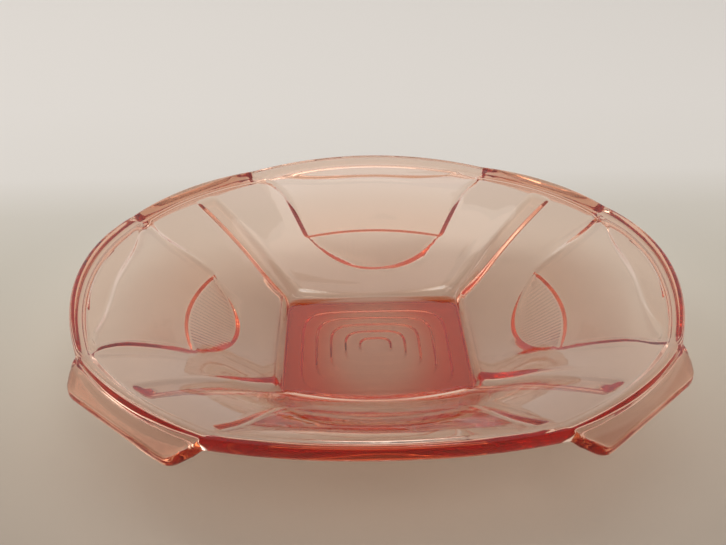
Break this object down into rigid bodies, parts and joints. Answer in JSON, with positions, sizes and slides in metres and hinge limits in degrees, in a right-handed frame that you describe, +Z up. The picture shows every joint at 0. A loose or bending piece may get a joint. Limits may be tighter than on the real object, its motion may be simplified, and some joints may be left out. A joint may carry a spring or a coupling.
{
  "type": "pressed glass candy dish",
  "caption": "Shallow flared candy dish of clear pink pressed glass on a square foot, with scooped side panels and sloping tab handles at its corners.",
  "frame": {"origin": "middle of the underside of the foot, on the surface the dish stands on", "axes": "+Z up, +X to the right, +Y to the back; the four sides face +X, +Y, -X and -Y, and the tab handles point along the diagonals"},
  "size_m": [0.2144, 0.2144, 0.0411],
  "materials": {
    "pink_glass": "clear, fire-polished"
  },
  "bodies": {
    "root": {"base": "pink_glass", "side_wall_right": "pink_glass", "side_wall_back": "pink_glass", "side_wall_left": "pink_glass", "side_wall_front": "pink_glass", "corner_rib_back_right": "pink_glass", "corner_rib_back_left": "pink_glass", "corner_rib_front_left": "pink_glass", "corner_rib_front_right": "pink_glass", "rim_arc_right": "pink_glass", "rim_arc_back": "pink_glass", "rim_arc_left": "pink_glass", "rim_arc_front": "pink_glass", "tab_handle_back_right": "pink_glass", "tab_handle_back_left": "pink_glass", "tab_handle_front_left": "pink_glass", "tab_handle_front_right": "pink_glass"}
  },
  "joints": []
}
